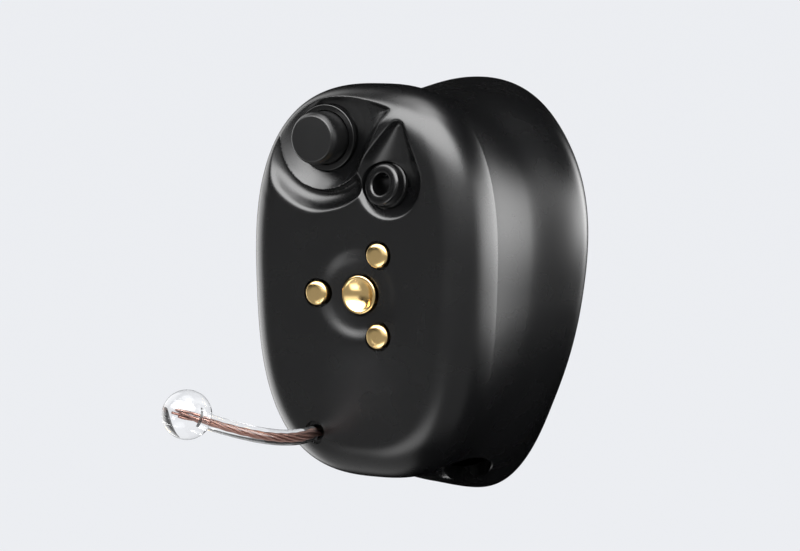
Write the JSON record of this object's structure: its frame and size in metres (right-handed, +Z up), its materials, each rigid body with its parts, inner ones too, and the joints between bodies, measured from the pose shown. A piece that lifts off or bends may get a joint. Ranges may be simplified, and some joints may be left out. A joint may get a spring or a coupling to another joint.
{
  "type": "custom in-the-ear hearing aid",
  "caption": "Black custom-moulded in-the-ear hearing aid with push button, microphone port, gold charging contacts, vent and a clear removal line ending in a ball.",
  "frame": {"origin": "the middle of the ear seat, on the canal's axis, 9 mm behind the flat face", "axes": "+Z up in the ear, -Y out of the face towards the viewer, +X to the right seen from the front; the canal points to +Y, turned 20 degrees towards -X"},
  "size_m": [0.0152, 0.0281, 0.0207],
  "materials": {
    "face_plastic": "satin black moulded face module",
    "shell_plastic": "lacquered black printed shell",
    "button_plastic": "fine matt black",
    "gold": "polished gold plate",
    "clear_line": "clear nylon",
    "copper": "bare copper strand",
    "rubber_dark": "soft black silicone",
    "steel": "drawn steel",
    "frame_plastic": "natural moulded plastic",
    "board_green": "solder-masked laminate",
    "chip_black": "moulded chip",
    "guard_white": "white moulded filter",
    "tube_clear": "clear soft tube",
    "wire": "enamelled lead"
  },
  "bodies": {
    "housing": {"faceplate": "face_plastic", "shell": "shell_plastic", "button_collar": "button_plastic", "button_seal": "rubber_dark", "snap_dome": "steel", "switch_body": "frame_plastic", "mic_sleeve": "rubber_dark", "mic_gasket": "rubber_dark", "microphone": "steel", "charging_pins": "gold", "centre_contact": "gold", "contact_carrier": "frame_plastic", "charge_magnet": "steel", "coin_cell": "steel", "cell_gasket": "frame_plastic", "cell_tabs": "steel", "inner_frame": "frame_plastic", "circuit_board": "board_green", "processor_chip": "chip_black", "radio_chip": "chip_black", "charger_chip": "chip_black", "crystal": "steel", "passives": "chip_black", "telecoil_core": "chip_black", "telecoil_winding": "copper", "receiver": "steel", "receiver_boot": "rubber_dark", "receiver_spout": "steel", "sound_tube": "tube_clear", "vent_tube": "shell_plastic", "line_bushing": "button_plastic", "line_anchor": "steel", "antenna_feed": "copper", "receiver_leads": "wire", "mic_leads": "wire", "cell_leads": "wire", "contact_leads": "wire", "switch_leads": "wire"},
    "button": {"button_cap": "button_plastic"},
    "mic_cover": {"mic_cover": "button_plastic", "mic_screen": "steel"},
    "wax_guard": {"wax_guard": "guard_white", "wax_screen": "steel"},
    "pull_end": {"pull_ball": "clear_line", "pull_line": "clear_line", "antenna_wire": "copper"}
  },
  "joints": [
    {"name": "button_press", "type": "slide", "parent": "housing", "child": "button", "axis": [0, 1, 0], "range_m": [0, 0.00035], "stiffness_N_per_m": 800, "deforming": ["snap_dome"]},
    {"name": "mic_cover_pull", "type": "slide", "parent": "housing", "child": "mic_cover", "axis": [-0.1699, -0.9633, 0.2079], "range_m": [0, 0.0015]},
    {"name": "wax_guard_pull", "type": "slide", "parent": "housing", "child": "wax_guard", "axis": [-0.342, 0.9397, 0], "range_m": [0, 0.003]},
    {"name": "removal_line_flex", "type": "hinge", "parent": "housing", "child": "pull_end", "pos_m": [-0.00243, -0.009, -0.00683], "axis": [0, 0, 1], "range_deg": [-25, 25], "stiffness_Nm_per_rad": 0.005, "deforming": ["pull_line", "antenna_wire"]}
  ]
}
